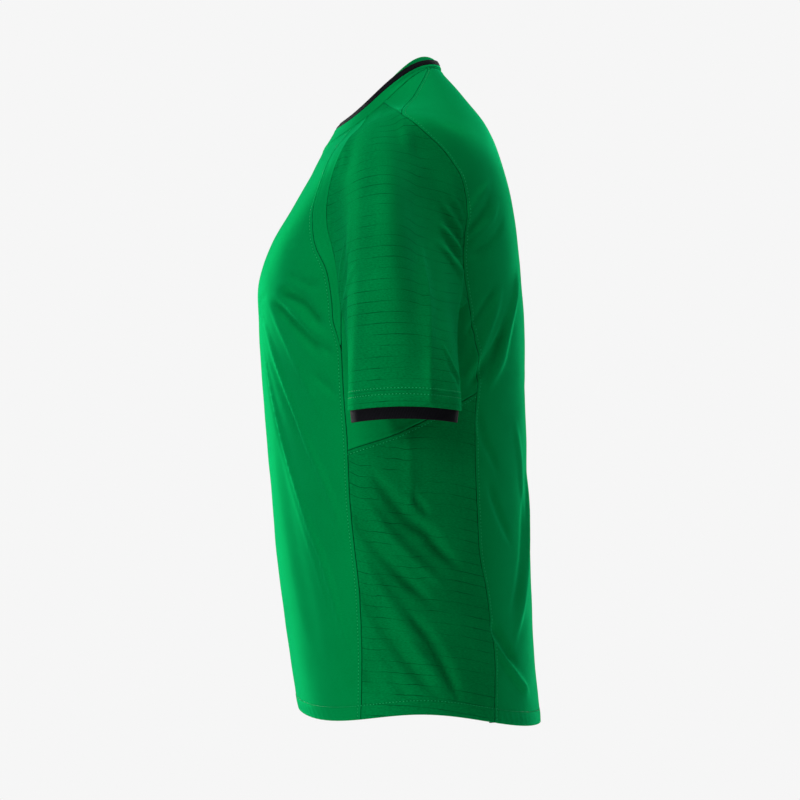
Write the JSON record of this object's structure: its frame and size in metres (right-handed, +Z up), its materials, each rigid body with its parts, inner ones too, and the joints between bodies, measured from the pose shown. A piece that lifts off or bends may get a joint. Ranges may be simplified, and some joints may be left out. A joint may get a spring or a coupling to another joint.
{
  "type": "football jersey",
  "caption": "Green short-sleeved football jersey, filled out as worn, with raglan-fronted sleeves, side panels, black cuffs and a black band at the round neck.",
  "frame": {"origin": "on the shoulder line, in the middle of the neck, where the wearer's shoulders carry the jersey", "axes": "+X to the wearer's left, +Y to the wearer's back, +Z up"},
  "size_m": [0.54, 0.2817, 0.6614],
  "materials": {
    "green_knit": "smooth polyester knit with a soft sheen",
    "pin_line_knit": "fine polyester knit with thin dark pin lines across it",
    "black_rib": "matt black rib knit"
  },
  "bodies": {
    "root": {"front": "green_knit", "back": "green_knit", "front_stripe_left": "green_knit", "front_stripe_right": "green_knit", "shoulder_left": "green_knit", "shoulder_right": "green_knit", "underarm_left": "green_knit", "underarm_right": "green_knit", "side_panel_left": "pin_line_knit", "side_panel_right": "pin_line_knit", "sleeve_left": "pin_line_knit", "sleeve_right": "pin_line_knit", "cuff_left": "black_rib", "cuff_right": "black_rib", "neckband": "green_knit", "collar": "black_rib", "inner_neckband": "green_knit"}
  },
  "joints": []
}
